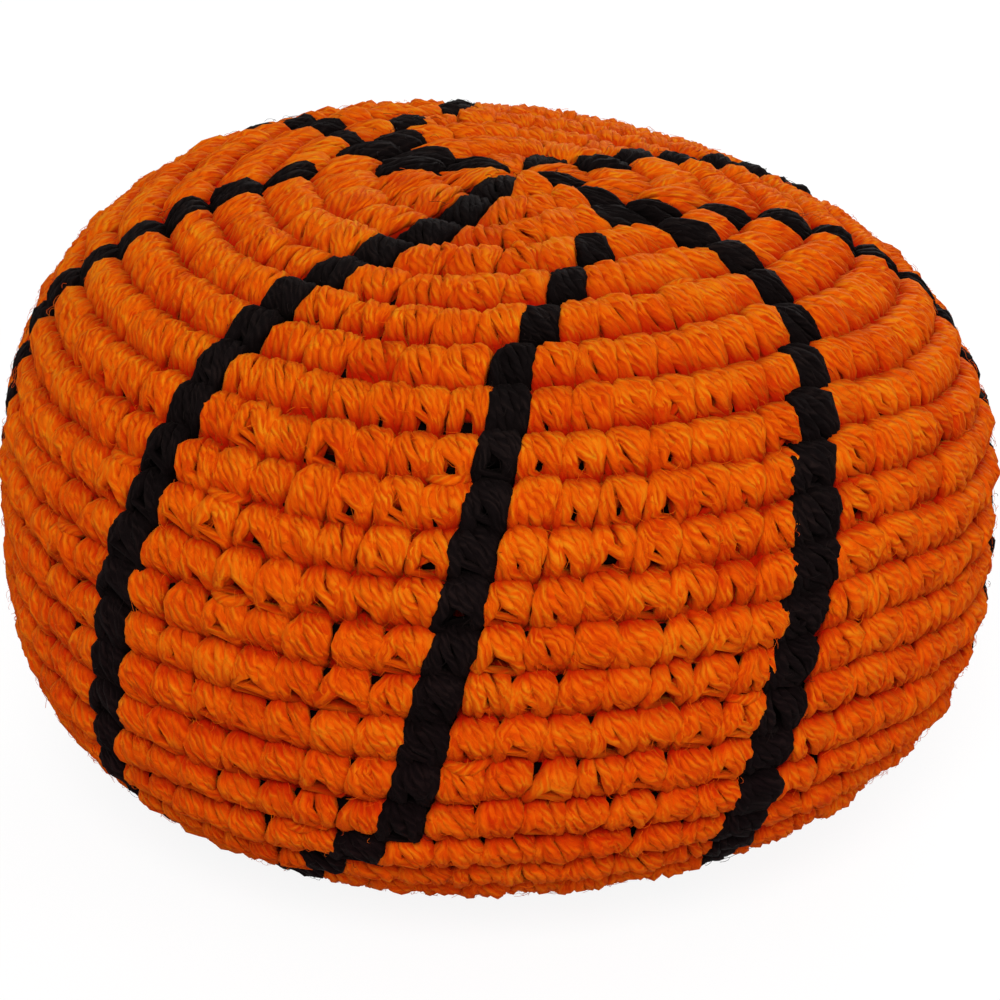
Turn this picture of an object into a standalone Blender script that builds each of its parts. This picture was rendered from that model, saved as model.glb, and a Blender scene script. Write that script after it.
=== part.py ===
"""Crocheted footbag, resting on a flat surface after its filling has settled.

The cover is one crocheted fabric worked in rounds from the upper pole to the lower one, in two
yarns. Black yarn makes eight lines that are one stitch wide. Four of them start at the upper
pole, and the other four branch off from those a few rounds further down. The cover is filled
with loose plastic pellets.

Places on the cover are given as a row, counted in rounds from the upper pole, and an azimuth in
degrees, counted from the front (-Y) towards the right (+X). Units are metres, +Z is up, and the
origin is in the middle of the footprint, on the surface that the footbag rests on.
"""

import math

import bmesh
import bpy
import numpy as np
from mathutils import Matrix, Vector

# The settled shape
side_radius = 0.0282
crown_height = 0.0197
belly_depth = 0.0165
belly_pressed = 0.0014
pressed_edge = 0.0006
crown_fullness = 2.83
belly_fullness = 2.66
crown_lean_share = 0.07
oval_share = 0.015
oval_azimuth = 28.5
three_lobe_share = 0.016
three_lobe_azimuth = 82.0
widest_level = belly_depth - belly_pressed

# The crochet
row_count = 27
last_row_end = 27.4
first_row_start = 0.2
axis_lean_right = 4.9
axis_lean_back = 6.0
end_row_stretch = 0.0177
wall = 0.003
ridge_depth = 0.0004
ridge_fade_height = 0.003
line_width = 0.0026
line_depth = 0.0017
fit_gap = 0.0003

# The rings that close the poles, and the knot
ring_radius = 0.0012
ring_yarn_radius = 0.0004
ring_clearance = 0.0004
ring_sink = 0.0009
knot_radius = 0.0009

# The filling
fill_side_slack = 0.001
fill_travel = 0.0015
pellet_travel = 0.001
ceiling_slack = 0.0005
pellet_radius = 0.0017
pellet_height = 0.0027
pellet_gap = 0.0004
pellet_count = 24
sunflower_share = 0.62
pellet_turn = 25.0

# Black lines, as azimuths at rows. A line is worked from its start row to its end row.
LINES = {
    "front_left": {
        "rows": (1.2, 26.2),
        "path": ((0.0, -25), (1.7, -26), (3.7, -28), (4.9, -36), (6.4, -38), (8.0, -39.5),
                 (11.0, -40), (12.8, -43), (14.8, -45), (16.5, -46), (27.4, -48)),
    },
    "front": {
        "rows": (3.2, 22.2),
        "path": ((0.0, 11), (1.1, 11), (2.1, 24), (3.1, 30), (3.6, 21), (4.6, 9.5), (5.7, 3),
                 (6.6, -0.7), (8.0, -1.3), (9.8, -2.2), (11.8, -4), (13.8, -5.5), (15.9, -7.5),
                 (17.2, -8.5), (18.0, -14), (20.0, -24), (22.5, -34), (27.4, -34)),
    },
    "front_right": {
        "rows": (1.2, 26.2),
        "path": ((0.0, 50), (1.0, 50), (2.1, 42), (3.1, 58), (3.6, 61.5), (4.6, 58), (6.1, 51),
                 (7.5, 44), (9.3, 38), (11.0, 35), (12.6, 33), (14.3, 31.5), (16.1, 31),
                 (18.3, 32), (23.0, 38), (27.4, 42)),
    },
    "right": {
        "rows": (4.2, 22.2),
        "path": ((0.0, 80), (1.1, 80), (3.1, 76), (3.7, 77), (4.5, 84), (6.0, 89), (7.4, 88.5),
                 (8.8, 85.5), (10.0, 83), (12.0, 80), (14.0, 78), (17.2, 76), (18.0, 81),
                 (20.0, 90), (22.5, 101), (27.4, 101)),
    },
    "back_right": {
        "rows": (1.2, 26.2),
        "path": ((0.0, 110), (1.1, 112), (2.8, 119), (5.0, 120), (8.0, 122), (12.0, 124),
                 (18.0, 124), (27.4, 122)),
    },
    "back": {
        "rows": (4.2, 22.2),
        "path": ((0.0, 190), (1.1, 190), (3.1, 208), (4.1, 218), (5.0, 205), (6.5, 190),
                 (8.0, 178), (12.0, 172), (17.2, 166), (18.0, 162), (20.0, 152), (22.5, 140),
                 (27.4, 140)),
    },
    "back_left": {
        "rows": (1.2, 26.2),
        "path": ((0.0, 261), (1.0, 262), (1.8, 266), (2.7, 260), (4.0, 238), (6.1, 233),
                 (8.0, 232), (12.0, 231), (18.0, 231), (27.4, 236)),
    },
    "left": {
        "rows": (3.2, 22.2),
        "path": ((0.0, 298), (1.1, 298), (2.1, 290), (3.1, 276), (3.6, 274), (5.1, 281.5),
                 (7.4, 283.5), (8.6, 281), (9.7, 278), (12.0, 276), (14.0, 273), (17.2, 271),
                 (18.0, 276), (20.0, 285), (22.5, 297), (27.4, 297)),
    },
}

# How finely the surfaces are divided
columns_per_gore = 4
inner_ring_rows = 2.0
azimuth_samples = 72
height_samples = 181
idle_line_share = 0.2
widest_line_half_angle = 26.0
line_smoothing_rows = 0.5
least_ring_step_rows = 0.3


def clear_scene():
    for obj in list(bpy.data.objects):
        bpy.data.objects.remove(obj, do_unlink=True)


def material(name, colour, roughness, metallic=0.0):
    found = bpy.data.materials.new(name)
    found.use_nodes = True
    shader = found.node_tree.nodes["Principled BSDF"]
    shader.inputs["Base Color"].default_value = (*colour, 1.0)
    shader.inputs["Roughness"].default_value = roughness
    shader.inputs["Metallic"].default_value = metallic
    return found


# The outside of the bag


def crochet_axis():
    """The turn that takes +Z to the direction of the upper pole."""
    lean_right = Matrix.Rotation(math.radians(axis_lean_right), 3, "Y")
    lean_back = Matrix.Rotation(-math.radians(axis_lean_back), 3, "X")
    return np.array(lean_right @ lean_back)


AXIS = crochet_axis()


def outside(polar, azimuth):
    """Points of the smooth outer surface, seen from its centre at angles from the crochet's axis."""
    sideways = np.sin(polar)
    heading = np.stack(
        [sideways * np.sin(azimuth), -sideways * np.cos(azimuth), np.cos(polar)], axis=-1
    )
    heading = heading @ AXIS.T
    across = np.hypot(heading[..., 0], heading[..., 1])
    turn = np.arctan2(heading[..., 0], -heading[..., 1])
    oval = oval_share * np.cos(2 * (turn - math.radians(oval_azimuth)))
    lobes = three_lobe_share * np.cos(3 * (turn - math.radians(three_lobe_azimuth)))
    radius = side_radius * (1 + oval + lobes)
    above = heading[..., 2] > 0
    crown = crown_height * (1 - crown_lean_share * heading[..., 0])
    half_height = np.where(above, crown, belly_depth)
    fullness = np.where(above, crown_fullness, belly_fullness)
    reach = (across / radius) ** fullness + (np.abs(heading[..., 2]) / half_height) ** fullness
    points = heading * (reach ** (-1 / fullness))[..., None]
    points[..., 2] = pressed(points[..., 2] + widest_level)
    return points


def pressed(height):
    """Heights after the belly is pressed flat on the surface, with a small rounded edge."""
    rounded = (height + pressed_edge) ** 2 / (4 * pressed_edge)
    return np.where(height < -pressed_edge, 0.0, np.where(height > pressed_edge, height, rounded))


def polar_angles_by_row():
    """For each sampled azimuth, the angle from the axis at rows 0 to last_row_end."""
    polar = np.linspace(0, math.pi, height_samples)
    share = np.linspace(0, 1, height_samples)
    spread = share + end_row_stretch * np.sin(2 * math.pi * share)
    table = []
    for azimuth in np.linspace(0, 2 * math.pi, azimuth_samples, endpoint=False):
        line = outside(polar, np.full_like(polar, azimuth))
        along = np.concatenate([[0], np.cumsum(np.linalg.norm(np.diff(line, axis=0), axis=1))])
        table.append(np.interp(spread, along / along[-1], polar))
    return np.array(table)


POLAR = polar_angles_by_row()


def polar_at(row, azimuth):
    row, azimuth = np.broadcast_arrays(np.asarray(row, float), np.asarray(azimuth, float))
    across = (azimuth / (2 * math.pi) % 1) * azimuth_samples
    down = np.clip(row / last_row_end, 0, 1) * (height_samples - 1)
    left = np.floor(across).astype(int) % azimuth_samples
    right = (left + 1) % azimuth_samples
    upper = np.minimum(np.floor(down).astype(int), height_samples - 2)
    across = across - np.floor(across)
    down = down - upper
    return (
        POLAR[left, upper] * (1 - across) * (1 - down)
        + POLAR[right, upper] * across * (1 - down)
        + POLAR[left, upper + 1] * (1 - across) * down
        + POLAR[right, upper + 1] * across * down
    )


def on_bag(row, azimuth, outward=0.0):
    """Points at rows and azimuths (in radians), moved outward from the smooth surface."""
    row, azimuth = np.broadcast_arrays(np.asarray(row, float), np.asarray(azimuth, float))
    step = 1e-3
    points = outside(polar_at(row, azimuth), azimuth)
    down = outside(polar_at(row + step, azimuth), azimuth)
    down -= outside(polar_at(row - step, azimuth), azimuth)
    round_it = outside(polar_at(row, azimuth + step), azimuth + step)
    round_it -= outside(polar_at(row, azimuth - step), azimuth - step)
    normal = np.cross(down, round_it)
    normal /= np.linalg.norm(normal, axis=-1, keepdims=True)
    return points + normal * np.asarray(outward)[..., None]


def distance_from_axis(row):
    """How far the row lies from the crochet's axis."""
    azimuth = np.linspace(0, 2 * math.pi, 8, endpoint=False)
    centre = np.array([0.0, 0.0, widest_level])
    points = (outside(polar_at(row, azimuth), azimuth) - centre) @ AXIS
    return float(np.mean(np.hypot(points[:, 0], points[:, 1])))


row_pitch = distance_from_axis(1.0)
pole_row = (ring_radius + ring_yarn_radius + ring_clearance) / row_pitch
end_clearance_rows = fit_gap / row_pitch


def row_relief(row, height):
    """How far the surface sinks between two rows. It fades where the bag rests on something."""
    past_row_end = (row - first_row_start) % 1.0
    sink = ridge_depth * (0.5 + 0.5 * np.cos(2 * math.pi * past_row_end))
    return sink * np.clip(height / ridge_fade_height, 0, 1)


# The black lines


def line_azimuth(name, row):
    """The line's azimuth at a row, with the corners of its path rounded."""
    rows, degrees = zip(*LINES[name]["path"])
    nearby = row + np.linspace(-line_smoothing_rows, line_smoothing_rows, 7)
    return math.radians(float(np.mean(np.interp(nearby, rows, degrees))))


def is_worked(name, row):
    start, end = LINES[name]["rows"]
    return start <= row <= end


def half_angle(name, row):
    """Half of the groove's width as an angle round the crochet's axis."""
    angle = line_width / 2 / distance_from_axis(row)
    angle = min(angle, math.radians(widest_line_half_angle))
    return angle if is_worked(name, row) else angle * idle_line_share


def surface_rows():
    """Row positions of the rings of points: the middle and the end of every row."""
    first, last = pole_row, last_row_end - pole_row
    half_rows = np.arange(1, 2 * row_count) * 0.5 + first_row_start
    least = least_ring_step_rows
    return [first] + [row for row in half_rows if first + least < row < last - least] + [last]


# Meshes


def mesh_object(name, build, surface, smooth_below=40.0):
    mesh = bpy.data.meshes.new(name)
    shape = bmesh.new()
    build(shape)
    bmesh.ops.recalc_face_normals(shape, faces=shape.faces)
    shape.to_mesh(mesh)
    shape.free()
    mesh.materials.append(surface)
    mesh.shade_smooth()
    mesh.set_sharp_from_angle(angle=math.radians(smooth_below))
    obj = bpy.data.objects.new(name, mesh)
    bpy.context.scene.collection.objects.link(obj)
    return obj


def bridge_loops_of_points(shape, loops, closed_stack=True):
    """Quads between neighbouring loops of points, each loop closed on itself."""
    rings = [[shape.verts.new(point) for point in loop] for loop in loops]
    pairs = list(zip(rings, rings[1:]))
    if closed_stack:
        pairs.append((rings[-1], rings[0]))
    for upper, lower in pairs:
        for index in range(len(upper)):
            following = (index + 1) % len(upper)
            shape.faces.new((upper[index], lower[index], lower[following], upper[following]))
    return rings


def cover_ring(row):
    """One ring of the cover's outside, with a groove where each worked line runs."""
    azimuths = []
    sinks = []
    names = list(LINES)
    for name, following in zip(names, names[1:] + names[:1]):
        middle = line_azimuth(name, row)
        half = half_angle(name, row)
        depth = line_depth if is_worked(name, row) else 0.0
        azimuths += [middle - half, middle - half, middle + half, middle + half]
        sinks += [0.0, depth, depth, 0.0]
        turn = line_azimuth(following, row) - half_angle(following, row) - (middle + half)
        turn %= 2 * math.pi
        steps = np.arange(1, columns_per_gore + 1) / (columns_per_gore + 1)
        azimuths += list(middle + half + turn * steps)
        sinks += [0.0] * columns_per_gore
    azimuths = np.array(azimuths)
    heights = on_bag(row, azimuths)[:, 2]
    return on_bag(row, azimuths, -row_relief(row, heights) - np.array(sinks)), azimuths


def build_cover(shape):
    outer = [cover_ring(row)[0] for row in surface_rows()]
    count = int(round((last_row_end - 2 * pole_row) / inner_ring_rows))
    inner_rows = np.linspace(last_row_end - pole_row, pole_row, count + 1)
    inner = [on_bag(row, cover_ring(row)[1], -wall) for row in inner_rows]
    bridge_loops_of_points(shape, outer + inner)


def line_section(name, row):
    """The line's cross-section: a strip that fills the groove, one fitting gap clear of it."""
    middle = line_azimuth(name, row)
    half = half_angle(name, row) - fit_gap / distance_from_axis(row)
    azimuths = np.array([middle - half, middle, middle + half, middle + half, middle - half])
    heights = on_bag(row, azimuths)[:, 2]
    bottom = line_depth - fit_gap
    sinks = row_relief(row, heights) + np.array([0.0, 0.0, 0.0, bottom, bottom])
    return on_bag(row, azimuths, -sinks)


def build_line(name):
    def build(shape):
        start, end = LINES[name]["rows"]
        first, last = start + end_clearance_rows, end - end_clearance_rows
        between = [row for row in surface_rows() if first < row < last]
        sections = [line_section(name, row) for row in [first, *between, last]]
        rings = bridge_loops_of_points(shape, sections, closed_stack=False)
        shape.faces.new(rings[0])
        shape.faces.new(reversed(rings[-1]))
    return build


# The rings, the knot and the pellets


def build_ring(shape):
    """A ring of one yarn about +Z: a round section, spun about the axis."""
    section = bmesh.ops.create_circle(
        shape,
        segments=8,
        radius=ring_yarn_radius,
        matrix=Matrix.Translation((ring_radius, 0, 0)) @ Matrix.Rotation(math.pi / 2, 4, "X"),
    )
    edges = list({edge for vertex in section["verts"] for edge in vertex.link_edges})
    bmesh.ops.spin(
        shape,
        geom=section["verts"] + edges,
        axis=(0, 0, 1),
        cent=(0, 0, 0),
        steps=20,
        angle=2 * math.pi,
        use_merge=True,
    )
    bmesh.ops.remove_doubles(shape, verts=shape.verts, dist=fit_gap / 100)


def build_ball(radius, height):
    def build(shape):
        flatten = Matrix.Diagonal((1, 1, height / (2 * radius), 1))
        bmesh.ops.create_icosphere(shape, subdivisions=2, radius=radius, matrix=flatten)
    return build


def seat_on_pole(obj, upper):
    """Lays a ring in the hole at a pole, square to the cover there."""
    azimuth = np.linspace(0, 2 * math.pi, 8, endpoint=False)
    rim = on_bag(pole_row if upper else last_row_end - pole_row, azimuth)
    outward = Vector(np.cross(rim[1] - rim[0], rim[3] - rim[0])).normalized()
    if (outward.z > 0) != upper:
        outward.negate()
    obj.location = Vector(rim.mean(axis=0)) - outward * ring_sink
    obj.rotation_euler = outward.to_track_quat("Z", "Y").to_euler()
    return obj


# The filling


def pellet_places():
    """Places of the loose pellets round the middle, in a sunflower pattern like poured grains."""
    golden_turn = math.pi * (3 - math.sqrt(5))
    spread = sunflower_share * (2 * pellet_radius + pellet_gap)
    for index in range(pellet_count):
        out = spread * math.sqrt(index + 0.5)
        turn = golden_turn * index
        yield out * math.cos(turn), out * math.sin(turn)


def ceiling_over_pellets():
    """The lowest point of the cover's inside above the loose pellets."""
    reach = pellet_radius + max(math.hypot(*place) for place in pellet_places())
    rows, azimuths = np.meshgrid(
        np.linspace(pole_row, row_count / 2, 60), np.linspace(0, 2 * math.pi, 60)
    )
    inside = on_bag(rows, azimuths, -wall).reshape(-1, 3)
    above = inside[np.hypot(inside[:, 0], inside[:, 1]) < reach]
    return float(above[:, 2].min())


def filling_level():
    """The filling's top, which leaves room for the pellets and for all their travel."""
    room = fit_gap + pellet_height + pellet_travel + fill_travel + ceiling_slack
    return ceiling_over_pellets() - room


def fill_point(polar, azimuth, level):
    """A point on the settled filling: the inside of the cover, cut level at the top."""
    slack = wall + fill_side_slack
    across = side_radius * (1 - oval_share - three_lobe_share) - slack
    half_height = belly_depth - slack
    if polar < math.pi / 2:
        half_height = crown_height * (1 - crown_lean_share) - slack
    reach = (math.sin(polar) / across) ** belly_fullness
    reach += (abs(math.cos(polar)) / half_height) ** belly_fullness
    out = math.sin(polar) * reach ** (-1 / belly_fullness)
    height = widest_level + math.cos(polar) * reach ** (-1 / belly_fullness)
    height = max(wall + fit_gap, min(height, level))
    return Vector((out * math.cos(azimuth), out * math.sin(azimuth), height))


def build_fill(level, rings=12, sides=28):
    def build(shape):
        polars = [math.pi * (ring + 1) / (rings + 1) for ring in range(rings)]
        turns = [2 * math.pi * side / sides for side in range(sides)]
        loops = [[fill_point(polar, turn, level) for turn in turns] for polar in polars]
        verts = bridge_loops_of_points(shape, loops, closed_stack=False)
        for ring, polar in ((verts[0], 0.0), (verts[-1], math.pi)):
            tip = shape.verts.new(fill_point(polar, 0.0, level))
            for index, vertex in enumerate(ring):
                shape.faces.new((tip, vertex, ring[(index + 1) % sides]))
    return build


def middle_of_outline():
    """The middle of the bag's outline, seen from above."""
    rows, azimuths = np.meshgrid(
        np.linspace(pole_row, last_row_end - pole_row, 200), np.linspace(0, 2 * math.pi, 200)
    )
    points = on_bag(rows, azimuths).reshape(-1, 3)
    return (points.min(axis=0) + points.max(axis=0)) / 2


def build_all():
    clear_scene()
    orange = material("orange_yarn", (0.61, 0.076, 0.004), 0.9)
    black = material("black_yarn", (0.012, 0.007, 0.006), 0.9)
    pellet_plastic = material("pellet_plastic", (0.72, 0.70, 0.66), 0.4)

    cover = mesh_object("crochet_cover", build_cover, orange)
    pieces = []
    for name in LINES:
        pieces.append(mesh_object(f"black_line_{name}", build_line(name), black))

    start_ring = seat_on_pole(mesh_object("start_ring", build_ring, orange), upper=True)
    closing_ring = seat_on_pole(mesh_object("closing_ring", build_ring, orange), upper=False)
    pieces += [start_ring, closing_ring]

    # The knot fills what the closing ring leaves of the cover's thickness
    knot_height = wall - ring_sink - ring_yarn_radius - fit_gap
    knot = mesh_object("end_knot", build_ball(knot_radius, knot_height), orange)
    knot.location = closing_ring.location
    knot.location.z = wall - knot_height / 2
    pieces.append(knot)

    level = filling_level()
    fill = mesh_object("pellet_mass", build_fill(level), pellet_plastic)
    pieces.append(fill)
    for index, (right, back) in enumerate(pellet_places()):
        ball = build_ball(pellet_radius, pellet_height)
        pellet = mesh_object(f"pellet_{index + 1:02d}", ball, pellet_plastic)
        pellet.location = (right, back, level + fit_gap + pellet_height / 2)
        pellet.rotation_euler = (0, 0, math.radians(pellet_turn * index))
        pellet.parent = fill

    for piece in pieces:
        piece.parent = cover
    cover.location = -Vector(middle_of_outline()).to_2d().to_3d()


build_all()
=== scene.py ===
"""Looks of the crocheted footbag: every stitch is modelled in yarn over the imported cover.

Places on the bag are a row, counted in rounds from the upper pole, an azimuth round the crochet's
axis, counted from the front (-Y) towards the right (+X), and a distance outward from the surface.
"""

import math

import bmesh
import bpy
import numpy as np
from mathutils import Matrix, Vector


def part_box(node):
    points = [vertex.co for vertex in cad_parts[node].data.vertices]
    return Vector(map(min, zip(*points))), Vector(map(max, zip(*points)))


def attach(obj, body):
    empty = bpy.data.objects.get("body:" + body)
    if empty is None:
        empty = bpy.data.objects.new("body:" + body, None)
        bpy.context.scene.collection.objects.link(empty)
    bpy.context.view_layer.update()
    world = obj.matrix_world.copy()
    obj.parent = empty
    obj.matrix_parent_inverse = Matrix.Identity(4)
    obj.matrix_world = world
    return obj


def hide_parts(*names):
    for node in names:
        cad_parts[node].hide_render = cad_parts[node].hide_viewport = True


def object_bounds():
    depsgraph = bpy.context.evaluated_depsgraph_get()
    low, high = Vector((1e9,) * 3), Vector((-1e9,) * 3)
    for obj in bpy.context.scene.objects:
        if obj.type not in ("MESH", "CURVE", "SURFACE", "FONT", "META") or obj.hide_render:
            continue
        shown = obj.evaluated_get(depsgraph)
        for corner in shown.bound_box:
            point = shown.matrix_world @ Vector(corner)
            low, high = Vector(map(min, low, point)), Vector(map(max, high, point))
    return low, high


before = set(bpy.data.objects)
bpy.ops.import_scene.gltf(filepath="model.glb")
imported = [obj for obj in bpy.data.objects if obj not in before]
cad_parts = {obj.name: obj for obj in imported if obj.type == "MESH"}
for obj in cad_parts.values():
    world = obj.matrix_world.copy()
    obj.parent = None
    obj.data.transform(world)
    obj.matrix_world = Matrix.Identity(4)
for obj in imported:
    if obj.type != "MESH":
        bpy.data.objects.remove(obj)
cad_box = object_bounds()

MM = 0.001
rng = np.random.default_rng(11)

# The settled shape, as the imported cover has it
side_radius = 28.2 * MM
crown_height = 19.7 * MM
belly_depth = 16.5 * MM
widest_level = belly_depth - 1.4 * MM
pressed_edge = 0.6 * MM
crown_fullness = 2.83
belly_fullness = 2.66
crown_lean_share = 0.07
belly_lean_share = 0.025
belly_lean_azimuth = math.radians(-25)
oval_share = 0.015
oval_azimuth = math.radians(28.5)
three_lobe_share = 0.016
three_lobe_azimuth = math.radians(82)
axis_lean_right = math.radians(4.9)
axis_lean_back = math.radians(6)
end_row_stretch = 0.0177

# The crochet
row_count = 27
last_row_end = 27.4
first_row_start = 0.2
most_stitches = 64
stitches_added_per_row = 8
wall = 3.0 * MM
backing_depth = 1.55 * MM
carried_radius = 0.40 * MM
pole_row = 0.97
ring_radius = 1.2 * MM
ring_sink = 0.9 * MM
ring_ply = 0.19 * MM
pellet_size = 3.4 * MM
orange_fuzz_count = 9000
black_fuzz_count = 800
fuzz_seed = 5

# The eight black lines: the rows they are worked in, and their azimuth in degrees at rows
LINES = {
    "front_left": {
        "rows": (0.2, 26.2),
        "path": ((0.0, -30), (0.7, -30), (1.7, -28), (2.7, -29), (3.3, -31), (4.2, -36),
                 (5.2, -38.5), (7.5, -40.5), (10.5, -41), (12.3, -43.5), (14.3, -45),
                 (16.2, -47), (17.2, -48.5), (18.2, -50), (27.4, -50)),
    },
    "front": {
        "rows": (3.2, 22.2),
        "path": ((0.0, 22), (3.7, 22), (4.7, 9.5), (5.7, 3), (6.7, -1.2), (8.0, -1.6),
                 (9.8, -2.8), (11.8, -4.3), (13.8, -6), (15.7, -7.7), (16.7, -8.5),
                 (17.7, -14.5), (18.7, -20), (20.0, -26), (22.5, -34), (27.4, -34)),
    },
    "front_right": {
        "rows": (0.2, 26.2),
        "path": ((0.0, 70), (0.7, 70), (1.7, 55), (2.7, 43), (3.7, 56), (4.7, 56.5),
                 (5.7, 52.5), (6.7, 48.5), (7.7, 43.5), (8.7, 39.5), (9.7, 37), (11.0, 35),
                 (12.6, 33.5), (14.3, 32), (16.1, 31), (17.7, 31), (18.7, 33), (23.0, 38),
                 (27.4, 42)),
    },
    "right": {
        "rows": (2.2, 22.2),
        "path": ((0.0, 64), (2.7, 64), (3.5, 78), (4.4, 85), (5.3, 89), (7.0, 90),
                 (8.4, 89.5), (9.6, 89), (11.6, 87), (13.6, 82), (17.2, 76), (18.0, 81),
                 (20.0, 90), (22.5, 101), (27.4, 101)),
    },
    "back_right": {
        "rows": (0.2, 26.2),
        "path": ((0.0, 150), (0.7, 150), (1.7, 118), (2.7, 127), (3.7, 122), (5.0, 124),
                 (8.0, 124), (12.0, 124), (18.0, 124), (27.4, 122)),
    },
    "back": {
        "rows": (2.2, 22.2),
        "path": ((0.0, 234), (2.7, 234), (3.7, 214.5), (4.7, 193.5), (6.5, 187),
                 (8.0, 178), (12.0, 172), (17.2, 166), (18.0, 162), (20.0, 152), (22.5, 140),
                 (27.4, 140)),
    },
    "back_left": {
        "rows": (0.2, 26.2),
        "doubled_row": 2,
        "path": ((0.0, 250), (0.7, 255), (1.7, 251), (2.7, 253), (3.7, 242), (4.7, 231.5),
                 (5.7, 228), (8.0, 229), (12.0, 231), (18.0, 231), (27.4, 236)),
    },
    "left": {
        "rows": (3.2, 22.2),
        "path": ((0.0, 270), (3.4, 270), (4.3, 277), (5.2, 278), (6.2, 280), (7.2, 279.5),
                 (8.2, 278.5), (9.2, 276), (11.5, 275), (14.0, 273), (17.2, 271),
                 (18.0, 276), (20.0, 285), (22.5, 297), (27.4, 297)),
    },
}

# How far down, in rows, the rows have drifted at azimuths in degrees: on the crown and on the side
ROW_DRIFT = (
    (-180, -0.20, 0.20),
    (-150, -0.25, 0.30),
    (-115, 0.00, 0.50),
    (-85, 0.50, 0.60),
    (-60, 0.70, 0.62),
    (-25, 0.50, 0.50),
    (-8, 0.20, 0.38),
    (6, -0.20, 0.12),
    (25, -0.42, 0.00),
    (45, -0.46, -0.18),
    (60, -0.10, 0.12),
    (75, 0.00, 0.33),
    (90, 0.35, 0.50),
    (130, 0.10, 0.30),
    (180, -0.20, 0.20),
)


# The bag's surface


def crochet_axis():
    lean_right = Matrix.Rotation(axis_lean_right, 3, "Y")
    lean_back = Matrix.Rotation(-axis_lean_back, 3, "X")
    return np.array(lean_right @ lean_back)


AXIS = crochet_axis()


def pressed(height):
    """Heights above the floor, with what would lie under it pressed flat in a soft curve."""
    rounded = (height + pressed_edge) ** 2 / (4 * pressed_edge)
    above = np.where(height > pressed_edge, height, rounded)
    return np.where(height < -pressed_edge, 0.0, above)


def outside(polar, azimuth):
    """Points of the smooth outer surface, seen from its centre at angles from the crochet's axis."""
    sideways = np.sin(polar)
    heading = np.stack(
        [sideways * np.sin(azimuth), -sideways * np.cos(azimuth), np.cos(polar)], axis=-1
    )
    heading = heading @ AXIS.T
    across = np.hypot(heading[..., 0], heading[..., 1])
    turn = np.arctan2(heading[..., 0], -heading[..., 1])
    oval = oval_share * np.cos(2 * (turn - oval_azimuth))
    lobes = three_lobe_share * np.cos(3 * (turn - three_lobe_azimuth))
    radius = side_radius * (1 + oval + lobes)
    above = heading[..., 2] > 0
    crown = crown_height * (1 - crown_lean_share * heading[..., 0])
    belly = belly_depth * (1 - belly_lean_share * np.cos(turn - belly_lean_azimuth))
    half_height = np.where(above, crown, belly)
    fullness = np.where(above, crown_fullness, belly_fullness)
    reach = (across / radius) ** fullness + (np.abs(heading[..., 2]) / half_height) ** fullness
    points = heading * (reach ** (-1 / fullness))[..., None]
    points[..., 2] = pressed(points[..., 2] + widest_level)
    return points


def polar_angles_by_row(azimuth_samples=72, row_samples=181):
    polar = np.linspace(0, math.pi, row_samples)
    share = np.linspace(0, 1, row_samples)
    spread = share + end_row_stretch * np.sin(2 * math.pi * share)
    table = []
    for azimuth in np.linspace(0, 2 * math.pi, azimuth_samples, endpoint=False):
        line = outside(polar, np.full_like(polar, azimuth))
        along = np.concatenate([[0], np.cumsum(np.linalg.norm(np.diff(line, axis=0), axis=1))])
        table.append(np.interp(spread, along / along[-1], polar))
    return np.array(table)


POLAR = polar_angles_by_row()


def polar_at(row, azimuth):
    row, azimuth = np.broadcast_arrays(np.asarray(row, float), np.asarray(azimuth, float))
    across = (azimuth / (2 * math.pi) % 1) * POLAR.shape[0]
    down = np.clip(row / last_row_end, 0, 1) * (POLAR.shape[1] - 1)
    left = np.floor(across).astype(int) % POLAR.shape[0]
    right = (left + 1) % POLAR.shape[0]
    upper = np.minimum(np.floor(down).astype(int), POLAR.shape[1] - 2)
    across = across - np.floor(across)
    down = down - upper
    return (
        POLAR[left, upper] * (1 - across) * (1 - down)
        + POLAR[right, upper] * across * (1 - down)
        + POLAR[left, upper + 1] * (1 - across) * down
        + POLAR[right, upper + 1] * across * down
    )


def on_bag(row, azimuth, outward=0.0):
    """Points at rows and azimuths, moved outward from the smooth surface."""
    row, azimuth = np.broadcast_arrays(np.asarray(row, float), np.asarray(azimuth, float))
    step = 1e-3
    points = outside(polar_at(row, azimuth), azimuth)
    down = outside(polar_at(row + step, azimuth), azimuth)
    down -= outside(polar_at(row - step, azimuth), azimuth)
    round_it = outside(polar_at(row, azimuth + step), azimuth + step)
    round_it -= outside(polar_at(row, azimuth - step), azimuth - step)
    normal = np.cross(down, round_it)
    normal /= np.maximum(np.linalg.norm(normal, axis=-1, keepdims=True), 1e-12)
    return points + normal * np.asarray(outward)[..., None] - MIDDLE


def middle_of_outline():
    rows, azimuths = np.meshgrid(
        np.linspace(0.5, last_row_end - 0.5, 200), np.linspace(0, 2 * math.pi, 200)
    )
    points = outside(polar_at(rows, azimuths), azimuths).reshape(-1, 3)
    middle = (points.min(axis=0) + points.max(axis=0)) / 2
    middle[2] = 0
    return middle


MIDDLE = middle_of_outline()


def distance_from_axis(row):
    azimuth = np.linspace(0, 2 * math.pi, 8, endpoint=False)
    centre = np.array([0.0, 0.0, widest_level])
    points = (outside(polar_at(row, azimuth), azimuth) - centre) @ AXIS
    return float(np.mean(np.hypot(points[:, 0], points[:, 1])))


def depth_below_surface(points):
    """How deep points lie under the smooth surface, seen from its centre."""
    centre = np.array([0.0, 0.0, widest_level])
    inward = (points + MIDDLE - centre) @ AXIS
    length = np.linalg.norm(inward, axis=1)
    polar = np.arccos(np.clip(inward[:, 2] / length, -1, 1))
    azimuth = np.arctan2(inward[:, 0], -inward[:, 1])
    surface = outside(polar, azimuth) - centre
    return np.linalg.norm(surface, axis=1) - length


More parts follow.
